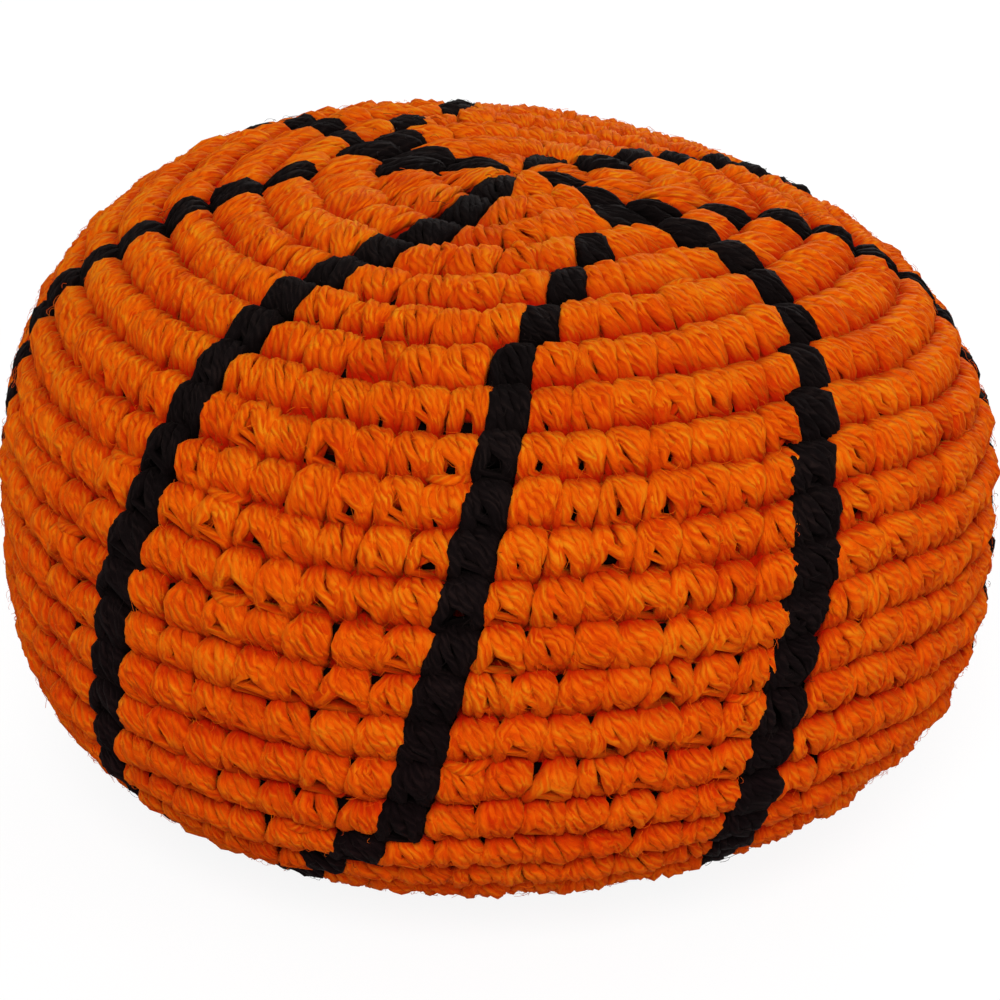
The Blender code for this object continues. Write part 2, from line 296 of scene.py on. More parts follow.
# The layout of the stitches

fewest_stitches = 6
column_bend = 0.06


def line_azimuth(name, row):
    rows, degrees = zip(*LINES[name]["path"])
    return math.radians(float(np.interp(row, rows, degrees)))


def stitches_in(row_number):
    growing = stitches_added_per_row * row_number
    shrinking = stitches_added_per_row * (row_count - row_number)
    return max(fewest_stitches, min(growing, most_stitches, shrinking))


def stitch_layout():
    """Lists the stitches: their gore, its right-hand line, place in it, row number and if black."""
    stitches = []
    for number in range(1, row_count + 1):
        middle = number - 0.5 + first_row_start
        worked = [
            name for name, line in LINES.items() if line["rows"][0] < middle < line["rows"][1]
        ]
        starts = worked or ["front_left"]
        starts.sort(key=lambda name: line_azimuth(name, middle) % (2 * math.pi))
        total = stitches_in(number)
        for index, left in enumerate(starts):
            right = starts[(index + 1) % len(starts)]
            span = gore_span(left, right, middle)
            if total == most_stitches and len(worked) == len(LINES):
                count = most_stitches // len(LINES)
            else:
                count = max(1, round(total * span / (2 * math.pi)))
            doubled = LINES[left].get("doubled_row") == number
            for place in range(count):
                black = bool(worked) and (place == 0 or (place == 1 and doubled))
                stitches.append((left, right, place / count, span / count, number, black))
    return stitches


def gore_span(left, right, row):
    span = (line_azimuth(right, row) - line_azimuth(left, row)) % (2 * math.pi)
    return span if span > 1e-6 else 2 * math.pi


def column_azimuth(left, right, share, rows, angle):
    """Azimuth at rows of the column at a share of the way across a gore, for one stitch of it."""
    column = np.array(
        [line_azimuth(left, row) + share * gore_span(left, right, row) for row in rows]
    )
    middle = column[len(column) // 2]
    most = column_bend * angle
    return middle + np.clip(column - middle, -most, most)


# Yarn


def strands_to_mesh(name, strands, sides=6):
    """One mesh of tubes along strands, each a pair of points and radii, and a ring if it meets."""
    curve = bpy.data.curves.new(name + "_lines", "CURVE")
    curve.dimensions = "3D"
    curve.bevel_depth = MM
    curve.bevel_resolution = (sides - 4) // 2
    curve.use_fill_caps = True
    for points, radii in strands:
        meets = bool(np.linalg.norm(points[-1] - points[0]) < 0.001 * MM)
        if meets:
            points, radii = points[:-1], radii[:-1]
        spline = curve.splines.new("POLY")
        spline.use_cyclic_u = meets
        spline.points.add(len(points) - 1)
        spline.points.foreach_set("co", np.column_stack([points, np.ones(len(points))]).ravel())
        spline.points.foreach_set("radius", np.asarray(radii) / MM)
    holder = bpy.data.objects.new(name + "_lines", curve)
    bpy.context.scene.collection.objects.link(holder)
    depsgraph = bpy.context.evaluated_depsgraph_get()
    mesh = bpy.data.meshes.new_from_object(holder.evaluated_get(depsgraph))
    bpy.data.objects.remove(holder)
    bpy.data.curves.remove(curve)
    shape = bmesh.new()
    shape.from_mesh(mesh)
    bmesh.ops.remove_doubles(shape, verts=shape.verts, dist=0.0001 * MM)
    shape.to_mesh(mesh)
    shape.free()
    mesh.name = name
    mesh.shade_smooth()
    points = np.empty(len(mesh.vertices) * 3)
    mesh.vertices.foreach_get("co", points)
    depth = mesh.attributes.new("depth", "FLOAT", "POINT")
    depth.data.foreach_set("value", depth_below_surface(points.reshape(-1, 3)) / MM)
    piece = bpy.data.objects.new(name, mesh)
    bpy.context.scene.collection.objects.link(piece)
    return piece


# A stitch's shape by how far down its row it has come: it leaves the hole below the row above,
# swells to its full width, opens in a notch at its foot and dives under the next row
STITCH_DOWN = np.array([-0.16, -0.05, 0.07, 0.22, 0.40, 0.60, 0.78, 0.95, 1.14])
STITCH_SINK = np.array([1.30, 0.74, 0.30, 0.04, 0.00, 0.14, 0.42, 0.85, 1.35]) * MM
STITCH_HALF = np.array([0.30, 0.40, 0.50, 0.565, 0.57, 0.545, 0.53, 0.52, 0.48])
STITCH_NOTCH = np.array([0.0, 0.0, 0.0, 0.0, 0.0, 0.03, 0.08, 0.09, 0.06])
STITCH_HEAD_GAP = np.array([0.30, 0.34, 0.28, 0.14, 0.04, 0.0, 0.0, 0.0, 0.0])
# A slit opens now and then between a stitch and the next one
SLIT = np.array([0.0, 0.0, 0.0, 0.2, 0.7, 1.0, 0.8, 0.3, 0.0])
strands_per_stitch = 12
strand_share = 0.14
strand_radius = 0.34 * MM
stitch_turns = 0.40
stitch_half_depth = 0.15 * MM
least_showing = 0.30
shoulder_drop = 0.10
filling_sink = 0.34 * MM
deepest_yarn = 2.75 * MM
black_flatness = 0.6
crown_black_size = 0.86
crown_black_height = 0.73

# The stitches are looser towards one side
loosest_azimuth = math.radians(-55)
looseness_swing = 0.45
smallest_notch, largest_notch, belly_notch = 0.1, 1.3, 0.4
usual_head_gap, head_gap_spread, largest_head_gap = 0.02, 0.26, 0.5

# How much stitches differ: in rows, in their widths and in mm
row_spread = 0.03
size_spread = 0.035
place_spread = 0.035
lean_spread = 0.07
usual_slit, slit_spread = 0.02, 0.05
sink_spread = 0.07
proud_usual, proud_spread = 0.02, 0.08
turns_spread = 0.2
strand_turn_spread = 0.15
strand_size_spread = 0.12
strand_wander = 0.014
strand_depth_spread, strand_depth_wander = 0.06, 0.045

# The yarns that run along a row: inside the stitches, on their edge, and now and then loose
CORE = {"row": 0.30, "radius": 0.66 * MM, "bow": 0.0}
core_depth, belly_core_depth = 1.20, 0.35
EDGE = {"row": 0.98, "outward": -1.55 * MM, "radius": 0.55 * MM, "bow": 0.02}
LOOSE_LOOP = {"row": 0.98, "outward": -0.45 * MM, "radius": 0.34 * MM, "bow": 0.14}
loose_loop_chance = 0.05
first_edged_black_row = 7
joining_reach = 0.45
joining_chance = 0.8


def on_belly(row_number):
    """0 on the crown's rows, 1 on those below the widest part, where the heads stand apart."""
    return np.interp(row_number, [10, 13], [0.0, 1.0])


def powered(value, power):
    return np.sign(value) * np.abs(value) ** power


def stitch_strands(stitch, reach):
    """The strands of a stitch, twisted into one flat bundle that covers its part of the row."""
    left, right, share, angle, number, black = stitch
    width = angle * distance_from_axis_at[number]
    start_row = number - 1 + first_row_start + rng.normal(0, row_spread)
    on_side = np.interp(number, [5, 9], [0.0, 1.0])
    black_size = crown_black_size + (1 - crown_black_size) * on_side
    size = rng.normal(black_size if black else 1.0, size_spread)
    slit = 0.0 if black else on_side * max(0.0, rng.normal(usual_slit, slit_spread))
    flatness = black_flatness if black else 1.0
    height = np.interp(number, [6, 7.5], [crown_black_height, 1.0]) if black else 1.0
    down = 0.45 + (STITCH_DOWN - 0.45) * height
    middle = rng.normal(0, place_spread) + rng.normal(0, lean_spread) * (0.5 - STITCH_DOWN)
    middle = middle + reach * np.clip(0.5 - STITCH_DOWN, 0, 1) ** 1.5
    from_loosest = line_azimuth(left, number) + share * 0.8 - loosest_azimuth
    looseness = 1 + looseness_swing * math.cos(from_loosest)
    notch_size = rng.uniform(smallest_notch, largest_notch + belly_notch * on_belly(number))
    notch_size = looseness * on_side * notch_size
    head_gap = np.clip(rng.normal(usual_head_gap, head_gap_spread), 0, largest_head_gap)
    head_gap = looseness * on_belly(number) * head_gap
    narrowing = 1 - STITCH_HEAD_GAP * (0.0 if black else head_gap)
    shoulder_size = flatness * shoulder_drop * (1 - 0.5 * on_belly(number))
    sink = STITCH_SINK * np.interp(number, [2, 6], [0.55, 1.0]) * rng.normal(1.0, sink_spread)
    sink = flatness * sink - rng.normal(proud_usual, proud_spread) * MM
    azimuth = column_azimuth(left, right, share, start_row + down, angle)
    start = rng.uniform(0, 2 * math.pi)
    turns = stitch_turns * rng.normal(1.0, turns_spread)
    twist = 2 * math.pi * turns * np.linspace(0, 1, len(sink))
    strands = []
    for index in range(strands_per_stitch):
        around = (index + rng.normal(0, strand_turn_spread)) / strands_per_stitch
        turn = start - twist + 2 * math.pi * around
        if np.sin(turn).max() < least_showing:
            continue
        radii = min(strand_radius, strand_share * width) * rng.normal(1.0, strand_size_spread)
        radii = radii * np.interp(STITCH_DOWN, [-0.16, 0.1, 0.7, 1.14], [0.75, 1.05, 1.0, 0.8])
        half = STITCH_HALF * narrowing * size - radii / width
        across = half * powered(np.cos(turn), 0.85)
        across = np.where(across > 0, across * (1 - slit * SLIT), across)
        notch = (STITCH_NOTCH + radii / width * (STITCH_NOTCH > 0.02)) * notch_size
        across = np.where(across < 0, np.minimum(across, -notch), np.maximum(across, notch))
        shoulder = shoulder_size * np.clip(1 - (STITCH_DOWN + 0.16) / 0.5, 0, 1)
        rows = start_row + down + shoulder * 4 * across**2
        outward = -radii - sink - stitch_half_depth * (1 - powered(np.sin(turn), 0.7))
        across = across + rng.normal(0, strand_wander, len(sink))
        outward = outward + rng.normal(0, strand_depth_spread) * MM
        outward = outward + rng.normal(0, strand_depth_wander, len(sink)) * MM
        strands.append((rows, azimuth + (middle + across) * angle, outward, radii))
    # The yarn under the strands, as two plain legs
    for place in (-0.25, 0.25):
        radii = narrowing * (0.28 - 0.06 * on_side) * width
        rows = start_row + down
        across = place * narrowing + notch_size * np.sign(place) * STITCH_NOTCH
        outward = -radii - sink - filling_sink * (0.6 + 0.4 * on_side)
        outward = np.maximum(outward, radii - deepest_yarn)
        leg = (rows, azimuth + (middle + across) * angle, outward, radii)
        strands.append(tuple(values[::2] for values in leg))
    return strands


def cross_strand(stitch, row, outward, radius, bow):
    """A strand that runs along the row through one stitch: its core or the loop on its edge."""
    left, right, share, angle, number, black = stitch
    along = np.linspace(-1, 1, 7)
    rows = number - 1 + first_row_start + row - bow * along**2 + rng.normal(0, 0.02)
    radii = np.full_like(along, radius * rng.normal(1.0, 0.05))
    outwards = outward + rng.normal(0, 0.05 * MM) - 5 * bow * MM * along**2
    azimuth = column_azimuth(left, right, share, rows, angle) + 0.52 * along * angle
    return rows, azimuth, outwards, radii


def make_stitches():
    """All strands, by the piece they belong to."""
    places = {}
    for stitch in STITCHES:
        left, right, share, angle, number, black = stitch
        strands = places.setdefault((black, left), [])
        meets_black = share + angle / gore_span(left, right, number - 0.5 + first_row_start) > 0.99
        joins = meets_black and not black and rng.random() < joining_chance
        strands.extend(stitch_strands(stitch, joining_reach if joins else 0.0))
        core_outward = -(core_depth + belly_core_depth * on_belly(number)) * MM
        strands.append(cross_strand(stitch, outward=core_outward, **CORE))
        if not black or number >= first_edged_black_row:
            strands.append(cross_strand(stitch, **EDGE))
        if rng.random() < loose_loop_chance and not black:
            strands.append(cross_strand(stitch, **LOOSE_LOOP))
    return places


STITCHES = stitch_layout()
row_pitch = distance_from_axis(1.0)
distance_from_axis_at = {
    number: distance_from_axis(number - 0.5 + first_row_start)
    for number in range(1, row_count + 1)
}


def drifted(rows, azimuths):
    """Rows as they lie on the bag, where each round wanders up and down a little."""
    at, crown, side = np.array(ROW_DRIFT).T
    degrees = (np.degrees(azimuths) + 180) % 360 - 180
    on_side = np.clip((rows - 4.5) / 3, 0, 1)
    drift = (1 - on_side) * np.interp(degrees, at, crown) + on_side * np.interp(degrees, at, side)
    return rows + drift * np.clip(rows / 2.5, 0, 1) * np.clip((24 - rows) / 4, 0, 1)


def laid_on_bag(strands):
    """Turns (rows, azimuths, outward, radii) into (points, radii), all strands in one go."""
    sizes = [len(strand[0]) for strand in strands]
    rows, azimuths, outward, radii = (np.concatenate(part) for part in zip(*strands))
    points = on_bag(drifted(rows, azimuths), azimuths, outward)
    points[:, 2] = np.maximum(points[:, 2], radii)
    ends = np.cumsum(sizes)
    return [(points[end - size:end], radii[end - size:end]) for size, end in zip(sizes, ends)]


# Materials

# How fine the yarn's patterns are, in patches per metre
wander_scale = 700.0
unevenness_scale = 1500.0
lump_scale = 900.0
tone_scale = 240.0
fibre_direction = (410.0, 330.0, 520.0)
# Painted shade by height: the tint that darkens and reddens the yarn at the foot, and the plain
# white it has on the crown
foot_shade_tint = (1.0, 0.58, 0.7)
crown_shade_tint = (1.0, 1.0, 1.0)


def node(tree, kind, **settings):
    made = tree.nodes.new(kind)
    for key, value in settings.items():
        setattr(made, key, value)
    return made


def maths(tree, operation, *values, clamp=False):
    made = node(tree, "ShaderNodeMath", operation=operation, use_clamp=clamp)
    for socket, value in zip(made.inputs, values):
        if isinstance(value, (int, float)):
            socket.default_value = value
        else:
            tree.links.new(value, socket)
    return made.outputs[0]


def noise(tree, vector, scale, detail, roughness=0.5):
    made = node(tree, "ShaderNodeTexNoise")
    made.inputs["Scale"].default_value = scale
    made.inputs["Detail"].default_value = detail
    made.inputs["Roughness"].default_value = roughness
    tree.links.new(vector, made.inputs["Vector"])
    return made.outputs["Fac"]


def yarn_group():
    """Twisted plies and loose fibres of a yarn, on a tube's own map: along it and round it."""
    tree = bpy.data.node_groups.new("twisted_yarn", "ShaderNodeTree")
    for name, value in (("Plies", 9.0), ("Twist", 6.0), ("Fuzz", 0.5)):
        socket = tree.interface.new_socket(name, in_out="INPUT", socket_type="NodeSocketFloat")
        socket.default_value = value
    for name in ("Height", "Shade_and_tone", "Fibre"):
        tree.interface.new_socket(name, in_out="OUTPUT", socket_type="NodeSocketFloat")
    entry = node(tree, "NodeGroupInput")
    leave = node(tree, "NodeGroupOutput")
    coordinates = node(tree, "ShaderNodeTexCoord")
    place = coordinates.outputs["Object"]
    split = node(tree, "ShaderNodeSeparateXYZ")
    tree.links.new(coordinates.outputs["UV"], split.inputs[0])
    along, around = split.outputs[0], split.outputs[1]

    # Across the twisted plies, wandering a little from stitch to stitch
    turns = maths(tree, "MULTIPLY", around, entry.outputs["Plies"])
    phase = maths(tree, "ADD", turns, maths(tree, "MULTIPLY", along, entry.outputs["Twist"]))
    wander = maths(tree, "MULTIPLY", noise(tree, place, wander_scale, 2.0), 2.4)
    phase = maths(tree, "ADD", phase, wander)
    fine = maths(tree, "SINE", maths(tree, "MULTIPLY", phase, 2 * math.pi))
    coarse = maths(tree, "SINE", maths(tree, "MULTIPLY", phase, 2 * math.pi / 3))
    uneven = noise(tree, place, unevenness_scale, 1.0)
    uneven = maths(tree, "MULTIPLY_ADD", uneven, 1.6, -0.35, clamp=True)
    fine = maths(tree, "MULTIPLY", fine, uneven)

    # Fibres run with the plies
    streak = node(tree, "ShaderNodeCombineXYZ")
    tree.links.new(maths(tree, "MULTIPLY", phase, 3.4), streak.inputs[0])
    tree.links.new(maths(tree, "MULTIPLY", along, 3.0), streak.inputs[1])
    spot = node(tree, "ShaderNodeVectorMath", operation="DOT_PRODUCT")
    spot.inputs[1].default_value = fibre_direction
    tree.links.new(place, spot.inputs[0])
    tree.links.new(spot.outputs["Value"], streak.inputs[2])
    fibre = noise(tree, streak.outputs[0], 1.0, 4.0, 0.7)
    lumps = noise(tree, place, lump_scale, 2.0)
    patch = noise(tree, place, tone_scale, 1.0)

    height = maths(tree, "MULTIPLY_ADD", fine, 0.36, 0.4)
    height = maths(tree, "ADD", height, maths(tree, "MULTIPLY", coarse, 0.06))
    height = maths(tree, "ADD", height, maths(tree, "MULTIPLY", fibre, entry.outputs["Fuzz"]))
    height = maths(tree, "ADD", height, maths(tree, "MULTIPLY", lumps, 0.5))
    # Painted shade and highlight: the colour follows the relief, darker in the creases between the
    # plies and lighter on their crowns, and random patches vary it as well
    shade_and_tone = maths(tree, "MULTIPLY", height, 0.42)
    shade_and_tone = maths(tree, "ADD", shade_and_tone, maths(tree, "MULTIPLY_ADD", patch, 0.24, -0.12))
    tree.links.new(height, leave.inputs["Height"])
    tree.links.new(shade_and_tone, leave.inputs["Shade_and_tone"])
    tree.links.new(fibre, leave.inputs["Fibre"])
    return tree


YARN = yarn_group()


def ramp(tree, factor, stops):
    made = node(tree, "ShaderNodeValToRGB")
    elements = made.color_ramp.elements
    while len(elements) < len(stops):
        elements.new(0.5)
    for element, (place, colour) in zip(elements, stops):
        element.position = place
        element.color = (*colour, 1.0)
    tree.links.new(factor, made.inputs[0])
    return made.outputs[0]


def shaded_by_height(tree, colour):
    """Painted shade: the yarn's colour turns darker and redder towards the foot of the bag, where
    less light falls, and stays as it is on the crown.
    """
    place = node(tree, "ShaderNodeTexCoord")
    height = node(tree, "ShaderNodeSeparateXYZ")
    tree.links.new(place.outputs["Object"], height.inputs[0])
    share = maths(tree, "DIVIDE", height.outputs["Z"], cad_box[1][2], clamp=True)
    tint = ramp(tree, share, ((0.0, foot_shade_tint), (1.0, crown_shade_tint)))
    height_shade = node(tree, "ShaderNodeMix", data_type="RGBA", blend_type="MULTIPLY")
    height_shade.inputs["Factor"].default_value = 1.0
    tree.links.new(colour, height_shade.inputs[6])
    tree.links.new(tint, height_shade.inputs[7])
    return height_shade.outputs[2]


def yarn_material(name, deep, dark, mid, light, rim, plies, twist, bump, shine, sheen):
    made = bpy.data.materials.new(name)
    made.use_nodes = True
    tree = made.node_tree
    shader = tree.nodes["Principled BSDF"]
    yarn = node(tree, "ShaderNodeGroup", node_tree=YARN)
    yarn.inputs["Plies"].default_value = plies
    yarn.inputs["Twist"].default_value = twist
    yarn.inputs["Fuzz"].default_value = 0.9
    # The ramp turns this painted shade, highlight and patchy variation into the yarn's colour
    surface = ramp(tree, yarn.outputs["Shade_and_tone"], ((0.33, dark), (0.49, mid), (0.64, light)))
    # Painted shade: yarn that lies deep under the smooth surface, in the grooves and under the next
    # row, is mixed towards the deep colour, as it looks in shade
    depth = node(tree, "ShaderNodeAttribute", attribute_name="depth")
    painted_shade_share = maths(tree, "MULTIPLY_ADD", depth.outputs["Fac"], 1.6, -0.34, clamp=True)
    mixed = node(tree, "ShaderNodeMix", data_type="RGBA")
    tree.links.new(painted_shade_share, mixed.inputs["Factor"])
    tree.links.new(surface, mixed.inputs[6])
    mixed.inputs[7].default_value = (*deep, 1.0)
    # The painted shade by height goes over the yarn's colour last
    tree.links.new(shaded_by_height(tree, mixed.outputs[2]), shader.inputs["Base Color"])
    rough = maths(tree, "MULTIPLY_ADD", yarn.outputs["Fibre"], 0.2, 0.72)
    tree.links.new(rough, shader.inputs["Roughness"])
    shader.inputs["Specular IOR Level"].default_value = shine
    shader.inputs["Sheen Weight"].default_value = sheen
    shader.inputs["Sheen Roughness"].default_value = 0.4
    shader.inputs["Sheen Tint"].default_value = (*rim, 1.0)
    relief = node(tree, "ShaderNodeBump")
    relief.inputs["Strength"].default_value = bump
    relief.inputs["Distance"].default_value = 0.12 * MM
    tree.links.new(yarn.outputs["Height"], relief.inputs["Height"])
    tree.links.new(relief.outputs[0], shader.inputs["Normal"])
    return made


def fleck_group():
    """Soft flecks that vary a colour and a finish over the surface."""
    tree = bpy.data.node_groups.new("soft_flecks", "ShaderNodeTree")
    for name in ("Scale", "Roughness"):
        tree.interface.new_socket(name, in_out="INPUT", socket_type="NodeSocketFloat")
    for name in ("Dark", "Light"):
        tree.interface.new_socket(name, in_out="INPUT", socket_type="NodeSocketColor")
    tree.interface.new_socket("Colour", in_out="OUTPUT", socket_type="NodeSocketColor")
    tree.interface.new_socket("Roughness", in_out="OUTPUT", socket_type="NodeSocketFloat")
    tree.interface.new_socket("Fleck", in_out="OUTPUT", socket_type="NodeSocketFloat")
    entry = node(tree, "NodeGroupInput")
    leave = node(tree, "NodeGroupOutput")
    coordinates = node(tree, "ShaderNodeTexCoord")
    texture = node(tree, "ShaderNodeTexNoise")
    texture.inputs["Detail"].default_value = 3.0
    tree.links.new(coordinates.outputs["Object"], texture.inputs["Vector"])
    tree.links.new(entry.outputs["Scale"], texture.inputs["Scale"])
    fleck = maths(tree, "MULTIPLY_ADD", texture.outputs["Fac"], 2.2, -0.6, clamp=True)
    mixed = node(tree, "ShaderNodeMix", data_type="RGBA")
    tree.links.new(fleck, mixed.inputs["Factor"])
    tree.links.new(entry.outputs["Dark"], mixed.inputs[6])
    tree.links.new(entry.outputs["Light"], mixed.inputs[7])
    rough = maths(tree, "ADD", entry.outputs["Roughness"], maths(tree, "MULTIPLY", fleck, 0.15))
    tree.links.new(mixed.outputs[2], leave.inputs["Colour"])
    tree.links.new(rough, leave.inputs["Roughness"])
    tree.links.new(fleck, leave.inputs["Fleck"])
    return tree


FLECKS = fleck_group()


def flecked_material(name, dark, light, scale, roughness, relief_height, shine):
    made = bpy.data.materials.new(name)
    made.use_nodes = True
    tree = made.node_tree
    shader = tree.nodes["Principled BSDF"]
    flecks = node(tree, "ShaderNodeGroup", node_tree=FLECKS)
    flecks.inputs["Scale"].default_value = scale
    flecks.inputs["Roughness"].default_value = roughness
    flecks.inputs["Dark"].default_value = (*dark, 1.0)
    flecks.inputs["Light"].default_value = (*light, 1.0)
    tree.links.new(flecks.outputs["Colour"], shader.inputs["Base Color"])
    tree.links.new(flecks.outputs["Roughness"], shader.inputs["Roughness"])
    shader.inputs["Specular IOR Level"].default_value = shine
    relief = node(tree, "ShaderNodeBump")
    relief.inputs["Distance"].default_value = relief_height
    tree.links.new(flecks.outputs["Fleck"], relief.inputs["Height"])
    tree.links.new(relief.outputs[0], shader.inputs["Normal"])
    return made


def heaped_pellets(name, dark, light, pellet_size):
    """The plastic of the pellets, with the relief of a heap of them."""
    made = flecked_material(name, dark, light, 500.0, 0.30, 0.05 * MM, 0.5)
    tree = made.node_tree
    coordinates = node(tree, "ShaderNodeTexCoord")
    heap = node(tree, "ShaderNodeTexVoronoi")
    heap.inputs["Scale"].default_value = 1 / pellet_size
    heap.inputs["Randomness"].default_value = 0.8
    tree.links.new(coordinates.outputs["Object"], heap.inputs["Vector"])
    relief = node(tree, "ShaderNodeBump", invert=True)
    relief.inputs["Distance"].default_value = 0.5 * pellet_size
    tree.links.new(heap.outputs["Distance"], relief.inputs["Height"])
    shader = tree.nodes["Principled BSDF"]
    tree.links.new(relief.outputs[0], shader.inputs["Normal"])
    return made


orange_yarn = yarn_material(
    "orange_yarn",
    # deep: the colour of painted shade on yarn deep in the grooves
    deep=(0.44, 0.0090, 0.0002),
    dark=(0.575, 0.039, 0.0003),
    mid=(0.77, 0.116, 0.0007),
    light=(0.80, 0.242, 0.005),
    rim=(0.95, 0.36, 0.02),
    plies=4.0,
    twist=5.0,
    bump=0.9,
    shine=0.03,
    sheen=0.30,
)
black_yarn = yarn_material(
    "black_yarn",
    # deep: the colour of painted shade on yarn deep in the grooves
    deep=(0.002, 0.001, 0.001),
    dark=(0.003, 0.002, 0.002),
    mid=(0.006, 0.004, 0.004),
    light=(0.014, 0.009, 0.008),
    rim=(0.06, 0.045, 0.04),
    plies=4.0,
    twist=5.0,
    bump=0.9,
    shine=0.02,
    sheen=0.14,
)
orange_fibre = flecked_material(
    "orange_fibre", (0.58, 0.040, 0.0005), (0.84, 0.15, 0.003), 900.0, 0.6, 0.005 * MM, 0.04
)
black_fibre = flecked_material(
    "black_fibre", (0.006, 0.004, 0.004), (0.016, 0.010, 0.009), 900.0, 0.6, 0.005 * MM, 0.04
)
# Painted shade: the orange yarn inside the wall, coloured dark red as it looks in shade
shaded_inner_fabric = flecked_material(
    "shaded_inner_fabric", (0.10, 0.003, 0.0002), (0.20, 0.007, 0.0004), 1200.0, 0.8, 0.2 * MM, 0.04
)
pellet_plastic = flecked_material(
    "pellet_plastic", (0.60, 0.58, 0.54), (0.74, 0.72, 0.68), 500.0, 0.30, 0.02 * MM, 0.5
)
pellet_heap = heaped_pellets("pellet_heap", (0.60, 0.58, 0.54), (0.74, 0.72, 0.68), pellet_size)


# The pieces


def dress(piece, material):
    piece.data.materials.clear()
    piece.data.materials.append(material)
    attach(piece, "cover")
    return piece


for (black, line_name), strands in make_stitches().items():
    if black:
        piece = strands_to_mesh(f"black_stitches_{line_name}", laid_on_bag(strands))
        dress(piece, black_yarn)
        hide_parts(f"black_line_{line_name}")
    else:
        piece = strands_to_mesh(f"orange_stitches_{line_name}", laid_on_bag(strands))
        dress(piece, orange_yarn)


def build_fuzz(name, black, count, seed):
    """Loose fibres that stand off the yarn, most of them lying along it."""
    chance = np.random.default_rng(seed)
    homes = [stitch for stitch in STITCHES if stitch[-1] == black]
    step = np.linspace(0, 1, 4)
    strands = []
    for index in chance.integers(len(homes), size=count):
        left, right, share, angle, number, _ = homes[index]
        width = angle * distance_from_axis_at[number]
        row = number - 1 + first_row_start + chance.uniform(-0.1, 0.8)
        length = chance.uniform(0.3, 0.9) * MM
        heading = chance.normal(math.radians(60), 0.45)
        bend = heading + chance.normal(0, 0.5) * step
        across = length * step * np.cos(bend) * chance.choice([-1, 1], p=[0.3, 0.7])
        down = length * step * np.sin(bend)
        rise = chance.uniform(-0.15, 0.0) * MM
        arch = chance.uniform(0.0, 0.18) * MM * np.sin(math.pi * step)
        end_lift = max(0.0, chance.normal(-0.02, 0.12)) * MM * step**2
        row_middle = number - 0.5 + first_row_start
        column = line_azimuth(left, row_middle) + share * gore_span(left, right, row_middle)
        azimuth = column + (chance.uniform(-0.45, 0.45) + across / width) * angle
        rows = row + down / row_pitch
        outward = rise + arch + end_lift
        # Orange fibres keep off the black stitches, and off other rows where the lines step aside
        from_line = azimuth - line_azimuth(left, row_middle)
        span = gore_span(left, right, row_middle)
        edge = angle * np.interp(number, [6, 9], [1.3, 0.62])
        beside_black = from_line.min() < edge or from_line.max() > span - edge
        leaves_row = rows.min() < number - 0.7 or rows.max() > number - 0.02
        lines_run_straight = 9 <= number <= 17
        if not black and (beside_black or (leaves_row and not lines_run_straight)):
            continue
        radius = chance.uniform(8, 13) * 0.001 * MM
        strands.append((rows, azimuth, outward, np.full_like(step, radius)))
    return strands_to_mesh(name, laid_on_bag(strands), sides=4)


for black, name, material, slot, count in (
    (False, "orange_fuzz", orange_fibre, "orange_yarn", orange_fuzz_count),
    (True, "black_fuzz", black_fibre, "black_yarn", black_fuzz_count),
):
    fuzz = dress(build_fuzz(name, black, count, fuzz_seed), material)


def build_backing():
    """The inner part of the fabric's wall, its orange yarn coloured dark red as painted shade, which
    shows between the stitches.
    """
    shape = bmesh.new()
    bmesh.ops.create_grid(shape, x_segments=96, y_segments=56, size=1.0)
    for corner in shape.verts:
        azimuth = math.pi * corner.co.x
        row = 0.1 + (last_row_end - 0.2) * (1 - corner.co.y) / 2
        corner.co = on_bag(row, azimuth, -backing_depth)
    bmesh.ops.remove_doubles(shape, verts=shape.verts, dist=0.001 * MM)
    bmesh.ops.solidify(shape, geom=shape.faces[:], thickness=wall - backing_depth)
    bmesh.ops.recalc_face_normals(shape, faces=shape.faces)
    mesh = bpy.data.meshes.new("fabric_backing")
    shape.to_mesh(mesh)
    shape.free()
    mesh.shade_smooth()
    piece = bpy.data.objects.new("fabric_backing", mesh)
    bpy.context.scene.collection.objects.link(piece)
    return piece


def carried_strands():
    """The black yarn that is carried along inside the orange stitches of each round."""
    turns = np.linspace(0, 2 * math.pi, 145)
    strands = []
    for number in range(1, row_count):
        down = 0.74 - 0.50 * on_belly(number)
        depth = 1.40 - 0.25 * on_belly(number)
        rows = np.full_like(turns, number - 1 + first_row_start + down)
        outward = (-depth + 0.15 * np.sin(40 * turns)) * MM
        strands.append((rows, turns, outward, np.full_like(turns, carried_radius)))
    return strands


carried = strands_to_mesh("carried_black_yarn", laid_on_bag(carried_strands()))
dress(carried, black_yarn)

backing = dress(build_backing(), shaded_inner_fabric)
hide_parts("crochet_cover")


# The rings of yarn that close the poles, and the knot inside the lower one


def pole_place(upper):
    """The middle of a pole's ring, two directions across the pole, and the way out of the bag."""
    quarters = np.radians([0, 90, 180, 270])
    rim = on_bag(pole_row if upper else last_row_end - pole_row, quarters)
    right = rim[1] - rim[3]
    right /= np.linalg.norm(right)
    back = rim[2] - rim[0]
    back -= right * (back @ right)
    back /= np.linalg.norm(back)
    outward = np.cross(right, back) * (1 if upper else -1)
    return rim.mean(axis=0) - outward * ring_sink, right, back, outward


